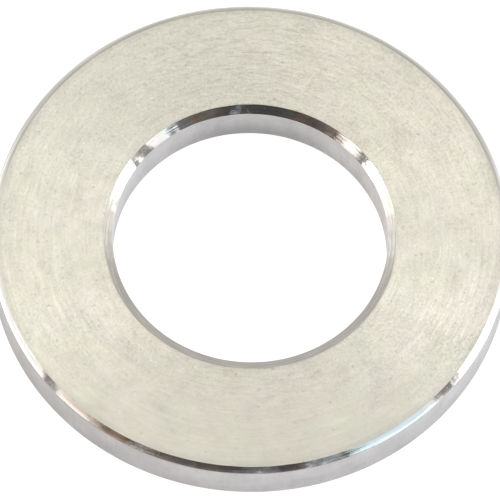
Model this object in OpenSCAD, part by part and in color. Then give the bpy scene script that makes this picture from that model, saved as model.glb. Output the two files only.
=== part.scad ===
// Plain flat washer for a 10 mm bolt, turned in one piece.
// The ring has two flat bearing faces, a straight bore, a straight rim and a shallow chamfer on each edge.
// The origin is the centre of the lower bearing face. +Z is the axis of the bore.

/* [Ring] */
// Outer diameter of the ring
outer_d = 20; // [18:0.1:24]
// Diameter of the bore, a clearance hole for the bolt's shank
bore_d = 10.6; // [10.2:0.1:12]
// Thickness from the lower bearing face to the upper one
thickness = 2; // [1.2:0.1:3]

/* [Edges] */
// Radial width of the chamfer at each end of the bore
bore_chamfer_w = 0.35; // [0.05:0.05:0.8]
// Radial width of the chamfer at each edge of the rim
rim_chamfer_w = 0.25; // [0.05:0.05:0.8]
// Depth of the bore's chamfer in the upper face
bore_chamfer_h = 0.15; // [0.05:0.01:0.4]
// Depth of the rim's chamfer in the upper face
rim_chamfer_h = 0.13; // [0.05:0.01:0.4]
// Depth of both chamfers in the lower face
lower_chamfer_h = 0.2; // [0.05:0.01:0.4]

/* [Hidden] */
bore_r = bore_d / 2;
rim_r = outer_d / 2;
// Inner and outer radius of the flat part of each bearing face
face_inner_r = bore_r + bore_chamfer_w;
face_outer_r = rim_r - rim_chamfer_w;
// Height at which the straight walls of the bore and the rim start, and where each ends
wall_bottom = lower_chamfer_h;
bore_wall_top = thickness - bore_chamfer_h;
rim_wall_top = thickness - rim_chamfer_h;
smoothness = 180;

// Half section of the ring: distance from the axis, then height
module ring_section() {
    polygon([
        [bore_r, wall_bottom],
        [face_inner_r, 0],
        [face_outer_r, 0],
        [rim_r, wall_bottom],
        [rim_r, rim_wall_top],
        [face_outer_r, thickness],
        [face_inner_r, thickness],
        [bore_r, bore_wall_top]
    ]);
}

module washer() {
    color("gainsboro")
        rotate_extrude($fn = smoothness)
            ring_section();
}

washer();
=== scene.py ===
"""Flat washer: one turned steel ring on a pale floor, in a bright tent that is open towards the camera."""

import math

import bpy
from mathutils import Matrix, Vector, noise


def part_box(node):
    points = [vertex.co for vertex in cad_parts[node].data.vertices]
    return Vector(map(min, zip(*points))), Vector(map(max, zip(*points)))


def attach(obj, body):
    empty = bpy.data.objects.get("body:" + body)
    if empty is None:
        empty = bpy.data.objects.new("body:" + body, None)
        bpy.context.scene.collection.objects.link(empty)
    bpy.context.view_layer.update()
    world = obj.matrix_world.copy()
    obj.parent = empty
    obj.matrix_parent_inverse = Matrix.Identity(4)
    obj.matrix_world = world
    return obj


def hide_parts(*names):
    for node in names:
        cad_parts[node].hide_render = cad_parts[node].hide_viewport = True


MM = 0.001

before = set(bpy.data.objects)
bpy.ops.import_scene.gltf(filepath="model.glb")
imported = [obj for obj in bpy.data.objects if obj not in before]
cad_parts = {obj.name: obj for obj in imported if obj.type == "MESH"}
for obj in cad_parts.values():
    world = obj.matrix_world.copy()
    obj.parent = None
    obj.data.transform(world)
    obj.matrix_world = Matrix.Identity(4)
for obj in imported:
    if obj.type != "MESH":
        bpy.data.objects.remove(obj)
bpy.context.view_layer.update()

# ---------------------------------------------------------------------------
# Sizes, read from the CAD ring
# ---------------------------------------------------------------------------

# Two measures closer than this are the same
SAME = 0.002 * MM


def ring_section(node):
    """Radii and heights at which the CAD ring's section turns a corner."""
    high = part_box(node)[1]
    points = [(math.hypot(v.co.x, v.co.y), v.co.z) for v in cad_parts[node].data.vertices]
    top = high.z
    rim_r = high.x
    bore_r = min(r for r, z in points)
    upper_face = [r for r, z in points if abs(z - top) < SAME]
    bore_wall = [z for r, z in points if abs(r - bore_r) < SAME]
    rim_wall = [z for r, z in points if abs(r - rim_r) < SAME]
    return {
        "bore_r": bore_r,
        "rim_r": rim_r,
        "top": top,
        "face_inner_r": min(upper_face),
        "face_outer_r": max(upper_face),
        "wall_bottom": min(bore_wall),
        "bore_wall_top": max(bore_wall),
        "rim_wall_top": max(rim_wall),
    }


ring = ring_section("washer")

# ---------------------------------------------------------------------------
# The ring's mesh
# ---------------------------------------------------------------------------

FACE, WALL, CHAMFER, UNDERSIDE = range(4)
# How round the corners are
CRISP = 0.02 * MM
SOFT = 0.05 * MM
# Strips across each rounded corner and each side of the section, and sections round the ring
CORNER_STRIPS = 4
FACE_STRIPS = 12
WALL_STRIPS = 6
CHAMFER_STRIPS = 3
TURNS = 720
# How far the edges of the hand-held chamfers wander, in slow waves and a finer ripple
EDGE_WANDER = 0.009 * MM
SLOW_WAVES = 3.0
SLOW_SHARE = 1.3
FINE_WAVES = 14.0
FINE_SHARE = 0.7
# How far apart in the noise the edges lie, and the two waves of one edge
EDGE_SPACING = 7.3
WAVE_SPACING = 2.1


def ripple(angle, waves, height):
    """Noise along a circle, so that it is the same again after a whole turn."""
    return noise.noise((waves * math.cos(angle), waves * math.sin(angle), height))


def wander(angle, edge):
    """How far an edge strays at this angle."""
    slow = ripple(angle, SLOW_WAVES, EDGE_SPACING * edge)
    fine = ripple(angle, FINE_WAVES, EDGE_SPACING * edge + WAVE_SPACING)
    return EDGE_WANDER * (SLOW_SHARE * slow + FINE_SHARE * fine)


def section_corners(sizes, angle):
    """The section's corners: point, how round it is, and the finish and strips of the side that follows."""
    stray = [wander(angle, edge) for edge in range(8)]
    return [
        ((sizes["bore_r"], sizes["wall_bottom"] + stray[0]), CRISP, WALL, WALL_STRIPS),
        ((sizes["bore_r"], sizes["bore_wall_top"] + stray[1]), CRISP, CHAMFER, CHAMFER_STRIPS),
        ((sizes["face_inner_r"] + stray[2], sizes["top"]), CRISP, FACE, FACE_STRIPS),
        ((sizes["face_outer_r"] + stray[3], sizes["top"]), CRISP, CHAMFER, CHAMFER_STRIPS),
        ((sizes["rim_r"], sizes["rim_wall_top"] + stray[4]), SOFT, WALL, WALL_STRIPS),
        ((sizes["rim_r"], sizes["wall_bottom"] + stray[5]), SOFT, CHAMFER, CHAMFER_STRIPS),
        ((sizes["face_outer_r"] + stray[6], 0.0), CRISP, UNDERSIDE, FACE_STRIPS),
        ((sizes["face_inner_r"] + stray[7], 0.0), CRISP, CHAMFER, CHAMFER_STRIPS),
    ]


def corner_round(before, here, after, radius):
    """Where the rounding of a corner starts and ends, the directions in and out of it, and its angle."""
    incoming = (here - before).normalized()
    outgoing = (after - here).normalized()
    turn = incoming.angle(outgoing)
    cut = radius * math.tan(turn / 2)
    return here - incoming * cut, here + outgoing * cut, incoming, outgoing, turn


def rounded_section(corners):
    """Closed outline with rounded corners: (point, outward normal, finish of the strip that follows)."""
    count = len(corners)
    points = [Vector(corner[0]) for corner in corners]
    rounds = []
    for i, corner in enumerate(corners):
        rounds.append(corner_round(points[i - 1], points[i], points[(i + 1) % count], corner[1]))
    outline = []
    for i, (_, radius, finish, strips) in enumerate(corners):
        first, last, incoming, outgoing, turn = rounds[i]
        normal_in = Vector((-incoming.y, incoming.x))
        normal_out = Vector((-outgoing.y, outgoing.x))
        centre = first - normal_in * radius
        for step in range(CORNER_STRIPS + 1):
            share = step / CORNER_STRIPS
            sweep = normal_in * math.sin((1 - share) * turn) + normal_out * math.sin(share * turn)
            normal = sweep / math.sin(turn)
            outline.append((centre + normal * radius, normal, finish))
        following = rounds[(i + 1) % count][0]
        for strip in range(1, strips):
            outline.append((last.lerp(following, strip / strips), normal_out, finish))
    return outline


def ring_points(outlines, angles):
    """Every section's points in place round the axis, with normals that lean where an edge wanders."""
    points = []
    normals = []
    for turn, angle in enumerate(angles):
        before = outlines[turn - 1]
        after = outlines[(turn + 1) % TURNS]
        cosine = math.cos(angle)
        sine = math.sin(angle)
        for i, (point, normal, _) in enumerate(outlines[turn]):
            drift = (after[i][0] - before[i][0]) * TURNS / (4 * math.pi)
            tilt = -normal.dot(drift) / point.x
            points.append((point.x * cosine, point.x * sine, point.y))
            leaning = (normal.x * cosine - tilt * sine, normal.x * sine + tilt * cosine, normal.y)
            normals.append(Vector(leaning).normalized())
    return points, normals


def turned_ring(name, sizes):
    """Turns the section about Z into one closed mesh with its true normals."""
    angles = [2 * math.pi * turn / TURNS for turn in range(TURNS)]
    outlines = [rounded_section(section_corners(sizes, angle)) for angle in angles]
    points, normals = ring_points(outlines, angles)
    count = len(outlines[0])
    faces = []
    finishes = []
    for turn, outline in enumerate(outlines):
        start = turn * count
        following = (turn + 1) % TURNS * count
        for i in range(count):
            j = (i + 1) % count
            faces.append((start + i, start + j, following + j, following + i))
            finishes.append(outline[i][2])
    mesh = bpy.data.meshes.new(name)
    mesh.from_pydata(points, [], faces)
    mesh.polygons.foreach_set("material_index", finishes)
    mesh.polygons.foreach_set("use_smooth", [True] * len(faces))
    mesh.update()
    mesh.normals_split_custom_set_from_vertices(normals)
    piece = bpy.data.objects.new(name, mesh)
    bpy.context.scene.collection.objects.link(piece)
    return piece


washer = turned_ring("turned_washer", ring)

# ---------------------------------------------------------------------------
# Node helpers
# ---------------------------------------------------------------------------


def grey(value, tint=(1.0, 1.0, 1.0)):
    """An opaque colour: the tint at this brightness."""
    return (value * tint[0], value * tint[1], value * tint[2], 1.0)


WHITE = grey(1.0)


class Graph:
    """Adds nodes to a node tree and links them, one call per node."""

    def __init__(self, tree):
        self.tree = tree
        tree.nodes.clear()

    def node(self, kind, **settings):
        made = self.tree.nodes.new(kind)
        for key, value in settings.items():
            setattr(made, key, value)
        return made

    def feed(self, socket, value):
        if isinstance(value, bpy.types.NodeSocket):
            self.tree.links.new(value, socket)
        else:
            socket.default_value = value

    def math(self, operation, *values):
        made = self.node("ShaderNodeMath", operation=operation)
        for socket, value in zip(made.inputs, values):
            self.feed(socket, value)
        return made.outputs[0]

    def product(self, first, *others):
        for other in others:
            first = self.math("MULTIPLY", first, other)
        return first

    def swing(self, value, middle, strength):
        """How far the value is from the middle, times a strength."""
        return self.product(self.math("SUBTRACT", value, middle), strength)

    def vector(self, operation, *values):
        made = self.node("ShaderNodeVectorMath", operation=operation)
        for socket, value in zip(made.inputs, values):
            self.feed(socket, value)
        return made.outputs["Value" if operation in ("DOT_PRODUCT", "LENGTH") else "Vector"]

    def scaled(self, vector, factor):
        made = self.node("ShaderNodeVectorMath", operation="SCALE")
        self.feed(made.inputs[0], vector)
        self.feed(made.inputs["Scale"], factor)
        return made.outputs[0]

    def combine(self, x, y, z):
        made = self.node("ShaderNodeCombineXYZ")
        for socket, value in zip(made.inputs, (x, y, z)):
            self.feed(socket, value)
        return made.outputs[0]

    def split(self, vector):
        made = self.node("ShaderNodeSeparateXYZ")
        self.feed(made.inputs[0], vector)
        return made.outputs

    def ramp(self, value, low, high, to_low=0.0, to_high=1.0, smooth=True):
        """Goes from to_low to to_high as the value goes from low to high."""
        made = self.node("ShaderNodeMapRange", interpolation_type="SMOOTHSTEP" if smooth else "LINEAR")
        for socket, given in zip(made.inputs, (value, low, high, to_low, to_high)):
            self.feed(socket, given)
        return made.outputs[0]

    def band(self, value, low_start, low_end, high_start, high_end):
        """1 between the two ramps, 0 outside them."""
        return self.product(self.ramp(value, low_start, low_end), self.ramp(value, high_end, high_start))

    def weaker(self, zone, least):
        """A strength of 1 that falls to least inside the zone."""
        return self.ramp(zone, 0.0, 1.0, 1.0, least)

    def mix(self, share, first, second):
        made = self.node("ShaderNodeMix", data_type="RGBA")
        self.feed(made.inputs[0], share)
        self.feed(made.inputs[6], first)
        self.feed(made.inputs[7], second)
        return made.outputs[2]

    def multiply(self, first, second):
        made = self.node("ShaderNodeMix", data_type="RGBA", blend_type="MULTIPLY")
        self.feed(made.inputs[0], 1.0)
        self.feed(made.inputs[6], first)
        self.feed(made.inputs[7], second)
        return made.outputs[2]

    def tinted(self, colour, zone, factor):
        """The colour, multiplied by a factor inside the zone."""
        return self.multiply(colour, self.mix(zone, WHITE, factor))

    def blend_sum(self, *parts):
        """Sum of (value, weight) pairs."""
        total = None
        for value, weight in parts:
            term = self.product(value, weight)
            total = term if total is None else self.math("ADD", total, term)
        return total

    def noise(self, vector, scale, detail=2.0, roughness=0.5):
        made = self.node("ShaderNodeTexNoise")
        self.feed(made.inputs["Vector"], vector)
        self.feed(made.inputs["Scale"], scale)
        self.feed(made.inputs["Detail"], detail)
        self.feed(made.inputs["Roughness"], roughness)
        return made.outputs["Fac"]


# ---------------------------------------------------------------------------
# Materials
# ---------------------------------------------------------------------------

# Base colours
STEEL = (0.623, 0.612, 0.543)
NEUTRAL_STEEL = (0.51, 0.496, 0.499)
BRIGHT_STEEL = (0.65, 0.63, 0.60)
# Lathe grooves of the face: how close, how deep, and how much of each is its steep flank
GROOVES_PER_MM = 25.0
GROOVE_DEPTH = 0.0027 * MM
STEEP_SHARE = 0.3
CHAMFER_RELIEF = 0.003 * MM
# Places in the noise, far enough apart that no two patterns are alike
STAIN_SEED = (0.0, 0.0, 51.0)
PIT_SEED = (0.0, 30.0, 0.0)
ROSY_SEED = (40.0, 0.0, 0.0)
STRAW_SEED = (0.0, 0.0, 60.0)
# Zones of the face in millimetres along Y: where its marks fade to the front, and where the grain is calmer
FRONT = (-8.5, -4.5)
GRAIN_FRONT = (-8.5, -4.0)
BESIDE_BORE = (-4.5, -1.0, 1.5, 3.5)
# The ring's radii in millimetres, as the shaders measure them
FACE_INNER = ring["face_inner_r"] / MM
FACE_OUTER = ring["face_outer_r"] / MM
RIM = ring["rim_r"] / MM


def metal(name):
    """A material with one metallic Principled shader: the material, its graph and the shader."""
    material = bpy.data.materials.new(name)
    material.use_nodes = True
    graph = Graph(material.node_tree)
    shader = graph.node("ShaderNodeBsdfPrincipled")
    output = graph.node("ShaderNodeOutputMaterial")
    graph.feed(output.inputs["Surface"], shader.outputs[0])
    shader.inputs["Metallic"].default_value = 1.0
    return material, graph, shader


class Place:
    """The point being shaded, in millimetres, with its distance and direction from the ring's axis."""

    def __init__(self, graph):
        self.graph = graph
        coordinates = graph.node("ShaderNodeTexCoord").outputs["Object"]
        self.point = graph.scaled(coordinates, 1 / MM)
        flat = graph.vector("MULTIPLY", self.point, (1.0, 1.0, 0.0))
        self.radius = graph.vector("LENGTH", flat)
        self.direction = graph.vector("NORMALIZE", flat)
        self.x, self.y, self.z = graph.split(self.point)

    def arcs(self, along, across, distance=None):
        """Noise coordinates that stretch into arcs: features per radian along, and per mm across."""
        distance = self.radius if distance is None else distance
        rise = self.graph.combine(0.0, 0.0, self.graph.product(distance, across))
        return self.graph.vector("ADD", self.graph.scaled(self.direction, along), rise)

    def moved(self, seed):
        return self.graph.vector("ADD", self.point, seed)


def bump(graph, shader, height, distance):
    made = graph.node("ShaderNodeBump")
    made.inputs["Strength"].default_value = 1.0
    made.inputs["Distance"].default_value = distance
    graph.feed(made.inputs["Height"], height)
    graph.feed(shader.inputs["Normal"], made.outputs[0])


def face_patterns(graph, place):
    """The turned face's patterns, from the finest to the coarsest."""
    stained = graph.vector("ADD", place.arcs(7.0, 1.1), STAIN_SEED)
    return {
        "grain": graph.noise(place.arcs(76.0, 11.0), 1.0, 2.0, 0.6),
        "short_arcs": graph.noise(place.arcs(16.0, 11.0), 1.0, 2.0, 0.6),
        "long_arcs": graph.noise(place.arcs(3.0, 8.0), 1.0, 3.0, 0.6),
        "stains": graph.noise(stained, 1.0, 3.0, 0.65),
    }


def fine_marks(graph, place, patterns):
    """Grain and short arcs: faint at the front, calmer beside the bore, a little stronger to the right."""
    front = graph.ramp(place.y, *GRAIN_FRONT, 0.18, 1.0)
    back = graph.ramp(place.y, 3.0, 7.0, 1.0, 0.97)
    rightward = graph.ramp(place.x, -6.0, 6.0, 0.9, 1.1)
    calm = graph.weaker(graph.band(place.y, *BESIDE_BORE), 0.72)
    marks = graph.blend_sum((patterns["grain"], 0.50), (patterns["short_arcs"], 0.16))
    return graph.swing(marks, 0.33, graph.product(front, back, rightward, calm))


def coarse_marks(graph, place, patterns, quiet):
    """Long arcs and stains: the arcs fade to the front, and the stains in the quiet zone."""
    lines = graph.swing(patterns["long_arcs"], 0.5, graph.ramp(place.y, *FRONT, 0.7, 1.0))
    blots = graph.swing(patterns["stains"], 0.5, graph.ramp(place.y, *FRONT, 1.0, 1.05))
    blots = graph.product(blots, graph.weaker(quiet, 0.6))
    return graph.math("ADD", graph.blend_sum((lines, 0.26), (blots, 0.42)), 0.34)


def marked_colour(graph, place, patterns, quiet, tint):
    """The tint, darker and lighter with the marks."""
    fine = fine_marks(graph, place, patterns)
    level = graph.math("ADD", fine, coarse_marks(graph, place, patterns, quiet))
    level = graph.math("POWER", graph.ramp(level, 0.03, 0.65, smooth=False), 0.7)
    return graph.mix(level, grey(0.52, tint), grey(1.30, tint))


def with_pits(graph, place, colour, tint):
    """Small dark pits, fainter at the front."""
    pits = graph.ramp(graph.noise(place.moved(PIT_SEED), 4.5, 2.0, 0.6), 0.39, 0.26)
    strength = graph.ramp(place.y, *GRAIN_FRONT, 0.33, 0.55)
    return graph.mix(graph.product(pits, strength), colour, grey(0.60, tint))


def with_smears_and_painted_glints(graph, place, colour, front):
    """Dark smears along the turning marks, and thin bright lines of painted glint that fade to the front.
    """
    smears = graph.ramp(graph.noise(place.arcs(20.0, 2.4), 1.0, 3.0, 0.6), 0.37, 0.27)
    colour = graph.tinted(colour, smears, grey(0.93))
    # painted glints: thin bright lines along the turning marks
    painted_glints = graph.ramp(graph.noise(place.arcs(7.0, 13.0), 1.0, 1.0, 0.5), 0.60, 0.76)
    return graph.tinted(colour, graph.product(painted_glints, front), grey(1.09))


def with_painted_shading(graph, place, colour, quiet):
    """Painted shade on the front and in the quiet zone, painted light on the back, and a dark line just
    inside each edge.
    """
    # painted shade: darker towards the front
    colour = graph.tinted(colour, graph.ramp(place.y, -5.0, -8.5), grey(0.965))
    # painted light: lighter towards the back
    colour = graph.tinted(colour, graph.ramp(place.y, 5.0, 9.0), grey(1.035))
    # painted shade: a little darker in the quiet zone
    colour = graph.tinted(colour, quiet, grey(0.988))
    past_bore = graph.ramp(place.radius, FACE_INNER - 0.02, FACE_INNER + 0.12)
    short_of_rim = graph.ramp(place.radius, FACE_OUTER - 0.02, FACE_OUTER - 0.32)
    return graph.multiply(colour, graph.mix(graph.product(past_bore, short_of_rim), grey(0.90), WHITE))


def with_tints(graph, place, colour, quiet):
    """Large faint patches of pink and green, strongest at the front, and of straw and blue."""
    rosy = graph.ramp(graph.noise(place.moved(ROSY_SEED), 0.7, 1.0, 0.5), 0.35, 0.65)
    strength = graph.product(graph.ramp(place.y, 3.0, -5.0, 0.6, 1.5), graph.weaker(quiet, 0.5))
    rosy = graph.math("ADD", graph.swing(rosy, 0.5, strength), 0.5)
    colour = graph.multiply(colour, graph.mix(rosy, (0.991, 1.002, 0.993, 1.0), (1.011, 0.996, 1.004, 1.0)))
    straw = graph.ramp(graph.noise(place.moved(STRAW_SEED), 0.9, 1.0, 0.5), 0.35, 0.65)
    straw = graph.math("ADD", graph.swing(straw, 0.5, graph.weaker(quiet, 0.5)), 0.5)
    return graph.multiply(colour, graph.mix(straw, (1.0, 1.0, 1.012, 1.0), (1.0, 1.0, 0.988, 1.0)))


def groove_relief(graph, place, patterns, front):
    """Lathe grooves that drift a little, each with a slow rise and a steep fall, deeper in some arcs."""
    drift = graph.product(graph.noise(place.arcs(3.0, 3.0), 1.0, 2.0, 0.5), 4.0)
    share = graph.math("FRACT", graph.math("ADD", graph.product(place.radius, GROOVES_PER_MM), drift))
    rise = graph.math("DIVIDE", share, 1.0 - STEEP_SHARE)
    fall = graph.math("DIVIDE", graph.math("SUBTRACT", 1.0, share), STEEP_SHARE)
    unevenness = graph.blend_sum((patterns["short_arcs"], 0.6), (patterns["long_arcs"], 0.4))
    depth = graph.product(graph.ramp(unevenness, 0.38, 0.60, 0.1, 1.7), front)
    return graph.product(graph.math("MINIMUM", rise, fall), depth)


def turned_face(name, tint):
    """Fine turned steel: grooves with their steep flank outward, arcs, grain, pits, faint stains, painted
    glints, and painted shade and light.
    """
    material, graph, shader = metal(name)
    place = Place(graph)
    patterns = face_patterns(graph, place)
    front = graph.ramp(place.y, *FRONT, 0.4, 1.0)
    # the quiet zone is the back left of the face
    quiet = graph.product(graph.ramp(place.y, 1.0, 4.0), graph.ramp(place.x, 1.5, -3.0))
    colour = marked_colour(graph, place, patterns, quiet, tint)
    colour = with_pits(graph, place, colour, tint)
    colour = with_smears_and_painted_glints(graph, place, colour, front)
    colour = with_painted_shading(graph, place, colour, quiet)
    colour = with_tints(graph, place, colour, quiet)
    graph.feed(shader.inputs["Base Color"], colour)
    roughness = graph.ramp(patterns["stains"], 0.3, 0.7, 0.36, 0.42, smooth=False)
    graph.feed(shader.inputs["Roughness"], roughness)
    bump(graph, shader, groove_relief(graph, place, patterns, front), GROOVE_DEPTH)
    tangent = graph.node("ShaderNodeTangent", direction_type="RADIAL", axis="Z")
    graph.feed(shader.inputs["Tangent"], tangent.outputs[0])
    shader.inputs["Anisotropic"].default_value = 0.6
    shader.inputs["Anisotropic Rotation"].default_value = 0.25
    return material


def wall_steel(graph, place, lines, tint):
    """The tint of the walls with their lines, upright strokes, patches and specks."""
    strokes = graph.noise(place.arcs(70.0, 0.8, place.z), 1.0, 2.0, 0.6)
    patches = graph.noise(place.arcs(9.0, 0.9, place.z), 1.0, 2.0, 0.6)
    level = graph.blend_sum((lines, 0.42), (strokes, 0.16), (patches, 0.42))
    colour = graph.mix(graph.ramp(level, 0.3, 0.7, smooth=False), grey(0.80, tint), grey(1.20, tint))
    specks = graph.ramp(graph.noise(place.point, 4.0, 2.0, 0.6), 0.33, 0.26)
    return graph.mix(graph.product(specks, 0.4), colour, grey(0.6, tint))


def with_painted_bore_shade(graph, place, colour, inside, outward):
    """Painted shade at the front and back of the bore, strongest low down."""
    # painted shade, not a real film
    shade_mask = graph.product(inside, graph.ramp(graph.math("ABSOLUTE", outward), 0.85, 0.2))
    shade_mask = graph.product(shade_mask, graph.ramp(place.z, 1.5, 0.1, 0.4, 1.0))
    return graph.tinted(colour, shade_mask, grey(0.64))


def satin_wall(name, tint):
    """Smooth satin steel: lines round the wall, upright strokes and specks, with painted light in the bore,
    painted shade low down and on the rim's left, and a painted reflection tint, warm to the left and cool
    to the right.
    """
    material, graph, shader = metal(name)
    place = Place(graph)
    # which way the wall faces along X: 1 to the right, -1 to the left
    outward = graph.split(graph.node("ShaderNodeTexCoord").outputs["Normal"])[0]
    lines = graph.noise(place.arcs(7.0, 11.0, place.z), 1.0, 3.0, 0.6)
    colour = wall_steel(graph, place, lines, tint)
    inside = graph.ramp(place.radius, 6.0, 5.5)
    # painted light: the bore's wall is lighter than the rim's
    colour = graph.tinted(colour, inside, grey(1.06))
    # painted shade: darker towards the bottom, where the floor's contact shadow would be reflected
    colour = graph.tinted(colour, graph.ramp(place.z, 1.8, 0.1), grey(0.86))
    # painted shade low down at the front and back of the bore
    colour = with_painted_bore_shade(graph, place, colour, inside, outward)
    # painted reflection tint: warm and darker where the wall faces left, cool and lighter where it faces
    # right
    drift = graph.ramp(outward, -0.8, 0.8, smooth=False)
    colour = graph.multiply(colour, graph.mix(drift, (1.01, 0.99, 0.965, 1.0), (1.06, 1.07, 1.09, 1.0)))
    # painted shade on the rim's wall where it faces left
    rim_left = graph.product(graph.ramp(outward, 0.0, -0.6), graph.math("SUBTRACT", 1.0, inside))
    colour = graph.tinted(colour, rim_left, grey(0.885))
    graph.feed(shader.inputs["Base Color"], colour)
    graph.feed(shader.inputs["Roughness"], graph.ramp(lines, 0.3, 0.7, 0.38, 0.48, smooth=False))
    return material


def chamfer_colour(graph, place, lines, on_rim, tint):
    """The rim's chamfer is darker, with a painted highlight where it meets the wall that is weaker beside
    its back.
    """
    colour = graph.mix(graph.ramp(lines, 0.3, 0.7), grey(0.88, tint), grey(1.06, tint))
    outer_edge = graph.ramp(place.radius, FACE_OUTER + 0.07, RIM)
    # painted highlight along the outer edge, where the chamfer meets the wall
    colour = graph.tinted(colour, outer_edge, grey(1.7))
    colour = graph.tinted(colour, on_rim, grey(0.85))
    # the painted highlight is weaker beside the back
    beside = graph.product(outer_edge, graph.band(place.y, 2.0, 4.5, 6.6, 8.4))
    return graph.tinted(colour, beside, grey(0.81))


def polished_chamfer(name, tint):
    """A nearly mirror-bright cut with faint lines, specks and rare nicks, and duller patches on the rim."""
    material, graph, shader = metal(name)
    place = Place(graph)
    lines = graph.noise(place.arcs(5.0, 14.0), 1.0, 2.0, 0.5)
    specks = graph.noise(place.point, 6.0, 2.0, 0.6)
    worn = graph.ramp(graph.noise(place.point, 0.8, 1.0, 0.5), 0.5, 0.65)
    nicks = graph.product(graph.ramp(graph.noise(place.point, 9.0, 1.0, 0.5), 0.64, 0.78), worn)
    on_rim = graph.ramp(place.radius, 9.0, 9.2)
    graph.feed(shader.inputs["Base Color"], chamfer_colour(graph, place, lines, on_rim, tint))
    dull = graph.product(graph.ramp(graph.noise(place.point, 1.7, 2.0, 0.6), 0.50, 0.64), on_rim)
    roughness = graph.math("ADD", graph.ramp(specks, 0.3, 0.75, 0.04, 0.12), graph.product(dull, 0.09))
    graph.feed(shader.inputs["Roughness"], roughness)
    bump(graph, shader, graph.blend_sum((lines, 1.2), (specks, 0.28), (nicks, 0.6)), CHAMFER_RELIEF)
    return material


# In the order of FACE, WALL, CHAMFER and UNDERSIDE
washer.data.materials.append(turned_face("turned_face_steel", STEEL))
washer.data.materials.append(satin_wall("satin_wall_steel", NEUTRAL_STEEL))
washer.data.materials.append(polished_chamfer("polished_chamfer_steel", BRIGHT_STEEL))
washer.data.materials.append(turned_face("underside_steel", STEEL))

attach(washer, "root")
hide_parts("washer")

# ---------------------------------------------------------------------------
# Floor
# ---------------------------------------------------------------------------

FLOOR_HALF = 0.5
# How far the floor lies below the ring
FLOOR_GAP = 0.01 * MM
FLOOR_GLOW = 0.93


def pale_floor():
    """A matt floor that glows at just about white."""
    mesh = bpy.data.meshes.new("floor")
    half = FLOOR_HALF
    corners = [(-half, -half), (half, -half), (half, half), (-half, half)]
    mesh.from_pydata([(x, y, -FLOOR_GAP) for x, y in corners], [], [(0, 1, 2, 3)])
    floor = bpy.data.objects.new("floor", mesh)
    bpy.context.scene.collection.objects.link(floor)
    material = bpy.data.materials.new("pale_floor")
    material.use_nodes = True
    shader = material.node_tree.nodes["Principled BSDF"]
    shader.inputs["Base Color"].default_value = grey(0.2)
    shader.inputs["Roughness"].default_value = 0.9
    shader.inputs["Emission Color"].default_value = WHITE
    shader.inputs["Emission Strength"].default_value = FLOOR_GLOW
    mesh.materials.append(material)
    return floor


pale_floor()

# ---------------------------------------------------------------------------
# Camera
# ---------------------------------------------------------------------------

CAMERA_ELEVATION = math.radians(64.24)
CAMERA_ROLL = math.radians(1.9)
CAMERA_DISTANCE = 300.2 * MM
# How far in front of the ring's axis the camera aims, on the upper face
AIM_IN_FRONT = 0.62 * MM
# Sensor width and focal length, in Blender's own millimetres
SENSOR = 36.0
LENS = 562.5
# Nearest and farthest distance that the camera sees
CLIP = (0.01, 10.0)


def studio_camera():
    aim = Vector((0.0, -AIM_IN_FRONT, ring["top"]))
    toward = Vector((0.0, -math.cos(CAMERA_ELEVATION), math.sin(CAMERA_ELEVATION)))
    camera = bpy.data.objects.new("camera", bpy.data.cameras.new("camera"))
    bpy.context.scene.collection.objects.link(camera)
    place = Matrix.Translation(aim + toward * CAMERA_DISTANCE)
    turn = (-toward).to_track_quat("-Z", "Y").to_matrix().to_4x4()
    camera.matrix_world = place @ turn @ Matrix.Rotation(CAMERA_ROLL, 4, "Z")
    camera.data.sensor_width = SENSOR
    camera.data.lens = LENS
    camera.data.clip_start, camera.data.clip_end = CLIP
    bpy.context.scene.camera = camera


studio_camera()

# ---------------------------------------------------------------------------
# Light: a bright tent, open and dark round the camera
# ---------------------------------------------------------------------------

# Tints of the tent, the room and the lights
WARM = (1.0, 0.98, 0.94)
DIM = (1.05, 0.99, 0.95)
PINK = (1.12, 0.98, 0.90)
ROSE = (1.05, 0.99, 0.96)
BROWN = (1.25, 0.98, 0.82)
BLUE = (0.90, 1.0, 1.08)
SKY = (0.82, 1.0, 1.11)
# Brightness of the studio's parts
WALL_MIDDLE = 0.68
WALL_SIDE = 0.98
CEILING = 1.25
CEILING_BACK = 1.58
SEAM = 0.40
LEFT_PANEL = 1.8
LEFT_PANEL_HEART = 6.9
LEFT_PANEL_OUTER = 1.65
RIGHT_PANEL = 1.9
RIGHT_PANEL_HEART = 5.8
LEFT_STRIP = 1.85
LEFT_STRIP_NEAR = 1.17
RIGHT_STRIP = 1.65
RIGHT_STRIP_NEAR = 1.42
LEFT_GLOOM = 0.26
RIGHT_GLOOM = 0.34
MIDDLE_GLOOM = 0.14
LOW_GLOOM = 0.8
LENS_SURROUND = 0.085
HAZE = 0.20
SLIT = 0.55
SLIT_LOW = 0.85
SMALL_LIGHT = 0.75
# Places in the noise for the room's vague shapes and for its brown patches
SHAPES_SEED = 3.0
BROWN_SEED = 9.0
# The direction of the darkest part of the room, just above the lens
DARKEST = (0.0, -0.352, 0.936)
# How the seam between a panel and its strip light runs across the ceiling: shares of sideways and backward
SEAM_SIDEWAYS = 0.546
SEAM_BACKWARD = 0.838


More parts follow.
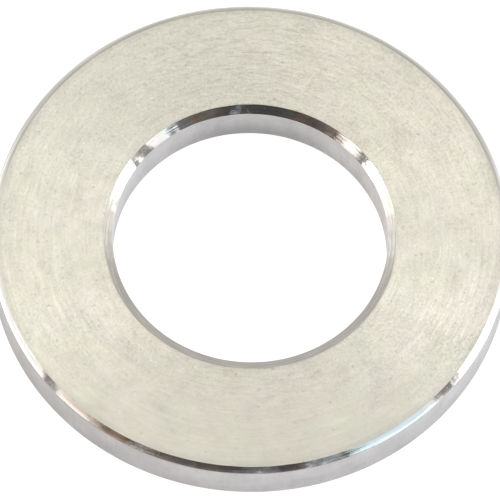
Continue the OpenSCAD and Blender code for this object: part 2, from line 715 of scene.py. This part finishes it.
class Outlook:
    """A direction out of the studio's middle, and where it meets a flat ceiling at a height of 1."""

    def __init__(self, graph):
        self.direction = graph.node("ShaderNodeTexCoord").outputs["Generated"]
        self.x, self.y, self.z = graph.split(self.direction)
        heading = graph.vector("NORMALIZE", graph.combine(self.x, self.y, 0.0))
        # 1 towards the back wall, -1 towards the camera's side
        self.back = graph.split(heading)[1]
        above = graph.math("MAXIMUM", self.z, 0.02)
        self.across_lens = graph.math("DIVIDE", self.x, above)
        self.sideways = graph.math("ABSOLUTE", self.across_lens)
        self.backward = graph.math("DIVIDE", self.y, above)
        # 1 to the right, 0 to the left
        self.right = graph.ramp(self.x, -0.05, 0.05)
        self.left = graph.math("SUBTRACT", 1.0, self.right)
        # how far across the seam, and the same for the panels, of which the right one is set back
        self.across = graph.blend_sum((self.sideways, SEAM_SIDEWAYS), (self.backward, SEAM_BACKWARD))
        setback = graph.product(self.right, graph.ramp(self.sideways, 0.75, 0.95, 0.04, 0.11))
        self.edge = graph.math("SUBTRACT", self.across, setback)


def back_wall(graph, look):
    """Dimmer in its middle than at its sides, and a little lighter along its foot and in the corners."""
    wall = graph.mix(graph.ramp(look.back, 0.80, 0.50), grey(WALL_MIDDLE, WARM), grey(WALL_SIDE, WARM))
    wall = graph.tinted(wall, graph.ramp(look.z, 0.24, 0.18), (1.08, 1.10, 1.07, 1.0))
    foot = graph.ramp(graph.math("ADD", look.z, look.back), 1.24, 1.19)
    wall = graph.tinted(wall, foot, (1.07, 1.09, 1.09, 1.0))
    wall = graph.tinted(wall, graph.product(foot, graph.ramp(look.back, 0.985, 0.90)), grey(1.17))
    left_corner = graph.product(foot, graph.product(look.left, graph.ramp(look.back, 0.88, 0.80)))
    return graph.tinted(wall, left_corner, grey(1.15))


def ceiling_light(graph, look):
    """Brightest at the back, with a bright patch in the middle and a dim one to the right of it."""
    lit = graph.product(graph.ramp(look.x, -0.35, 0.12), graph.ramp(look.y, 0.15, 0.60))
    ceiling = graph.mix(lit, grey(CEILING, WARM), grey(CEILING_BACK, WARM))
    ceiling = graph.tinted(ceiling, graph.ramp(look.sideways, 0.35, 1.0), grey(0.68))
    ceiling = graph.tinted(ceiling, graph.ramp(look.y, 0.48, 0.64), grey(0.85))
    middle = graph.band(look.across_lens, -0.25, -0.12, 0.0, 0.08)
    middle = graph.product(graph.ramp(look.y, 0.36, 0.12), middle)
    ceiling = graph.tinted(ceiling, middle, grey(1.45))
    dim = graph.product(graph.ramp(look.backward, 0.36, 0.14), graph.ramp(look.x, 0.10, 0.22))
    return graph.tinted(ceiling, dim, grey(0.78))


def tent(graph, look):
    """The back wall below and the ceiling above; the ceiling's light reaches lower in the wall's middle."""
    glow = graph.product(graph.ramp(look.back, 0.90, 0.97), graph.ramp(look.z, 0.39, 0.49))
    height = graph.math("ADD", look.z, graph.product(glow, 0.25))
    return graph.mix(graph.ramp(height, 0.57, 0.82), back_wall(graph, look), ceiling_light(graph, look))


def room(graph, look):
    """The front half: the dark room beyond the tent's opening, with vague dark and brown shapes in it."""
    stretched = graph.combine(look.across_lens, graph.product(look.backward, 0.4), SHAPES_SEED)
    shapes = graph.noise(stretched, 13.0, 2.0, 0.6)
    gloom = graph.mix(look.right, grey(LEFT_GLOOM, BROWN), grey(RIGHT_GLOOM, BLUE))
    gloom = graph.mix(graph.ramp(look.sideways, 0.32, 0.58), grey(MIDDLE_GLOOM, DIM), gloom)
    gloom = graph.multiply(gloom, graph.mix(graph.ramp(shapes, 0.35, 0.65), grey(0.62), grey(1.35)))
    browner = graph.noise(graph.combine(look.across_lens, look.backward, BROWN_SEED), 9.0, 1.0, 0.5)
    gloom = graph.tinted(gloom, graph.ramp(browner, 0.5, 0.62), grey(1.0, BROWN))
    return graph.mix(graph.ramp(look.z, 0.86, 0.25), gloom, grey(LOW_GLOOM))


def with_seams(graph, look, studio):
    """The grey seam between each side panel and its strip light."""
    seam = graph.product(graph.ramp(look.across, 0.26, 0.30), graph.ramp(look.edge, 0.44, 0.40))
    seam = graph.product(seam, graph.ramp(look.backward, 0.06, 0.02))
    return graph.mix(seam, studio, grey(SEAM, WARM))


def with_panels(graph, look, studio):
    """A bright panel on each side, hottest in its middle; the left one is dimmer far out."""
    panel = graph.band(look.back, -0.22, -0.14, 0.39, 0.45)
    panel = graph.product(panel, graph.ramp(look.edge, 0.38, 0.43))
    heat = graph.band(look.back, -0.08, 0.04, 0.11, 0.24)
    cooler = graph.mix(look.right, grey(LEFT_PANEL, PINK), grey(RIGHT_PANEL))
    hottest = graph.mix(look.right, grey(LEFT_PANEL_HEART), grey(RIGHT_PANEL_HEART))
    outer = graph.product(look.left, graph.ramp(look.sideways, 0.90, 1.08))
    light = graph.mix(outer, graph.mix(heat, cooler, hottest), grey(LEFT_PANEL_OUTER))
    return graph.mix(panel, studio, light)


def with_strips(graph, look, studio):
    """A strip light beyond each panel, nearer the camera: rosy and leaning outward, or bluish."""
    lean = graph.product(graph.math("MINIMUM", graph.math("ADD", look.backward, 0.194), 0.0), look.left)
    inner = graph.math("ADD", graph.math("ADD", look.sideways, lean), graph.product(look.left, 0.02))
    strip = graph.product(graph.ramp(inner, 0.50, 0.525), graph.ramp(look.across, 0.32, 0.28))
    strip = graph.product(strip, graph.ramp(look.backward, -0.01, -0.08), graph.ramp(look.z, 0.5, 0.6))
    nearer = graph.ramp(look.backward, -0.15, -0.28)
    rosy = graph.mix(nearer, grey(LEFT_STRIP, ROSE), grey(LEFT_STRIP_NEAR, PINK))
    cool = graph.mix(nearer, grey(RIGHT_STRIP), grey(RIGHT_STRIP_NEAR, SKY))
    return graph.mix(strip, studio, graph.mix(look.right, rosy, cool))


def with_lens_surround(graph, look, studio, low):
    """The darkest part, just above the lens, with a haze below it and a slit of light beside it."""
    dark = graph.vector("DOT_PRODUCT", look.direction, DARKEST)
    studio = graph.mix(graph.ramp(dark, 0.972, 0.992), studio, grey(LENS_SURROUND))
    haze = graph.product(graph.band(look.across_lens, -0.03, 0.0, 0.10, 0.13), low)
    studio = graph.mix(haze, studio, grey(HAZE))
    slit = graph.band(look.across_lens, 0.082, 0.087, 0.097, 0.102)
    slit = graph.product(slit, graph.ramp(look.backward, -0.2, -0.25))
    return graph.mix(slit, studio, graph.mix(low, grey(SLIT, BLUE), grey(SLIT_LOW, BLUE)))


def with_small_lights(graph, look, studio, low):
    """Two small blue lights to the right of the lens and a warm one to its left."""
    nearer_light = graph.band(look.across_lens, 0.275, 0.290, 0.310, 0.325)
    farther_light = graph.band(look.across_lens, 0.36, 0.37, 0.40, 0.41)
    cool = graph.product(graph.math("ADD", nearer_light, farther_light), graph.product(low, look.right))
    studio = graph.mix(cool, studio, grey(SMALL_LIGHT, BLUE))
    warm = graph.band(look.across_lens, -0.46, -0.45, -0.42, -0.41)
    warm = graph.product(warm, graph.ramp(look.backward, -0.38, -0.42))
    return graph.mix(warm, studio, grey(SMALL_LIGHT, WARM))


def studio_light():
    """World light by direction: the tent behind, the room in front, and the lights between them."""
    world = bpy.data.worlds.new("studio")
    bpy.context.scene.world = world
    world.use_nodes = True
    graph = Graph(world.node_tree)
    look = Outlook(graph)
    # the lowest part in front, under the lens
    low = graph.ramp(look.backward, -0.42, -0.50)
    studio = graph.mix(graph.ramp(look.back, -0.05, -0.2), tent(graph, look), room(graph, look))
    studio = with_seams(graph, look, studio)
    studio = with_panels(graph, look, studio)
    studio = with_strips(graph, look, studio)
    studio = with_lens_surround(graph, look, studio, low)
    studio = with_small_lights(graph, look, studio, low)
    background = graph.node("ShaderNodeBackground")
    graph.feed(background.inputs["Color"], studio)
    output = graph.node("ShaderNodeOutputWorld")
    graph.feed(output.inputs["Surface"], background.outputs[0])


studio_light()
bpy.context.scene.view_settings.view_transform = "Standard"
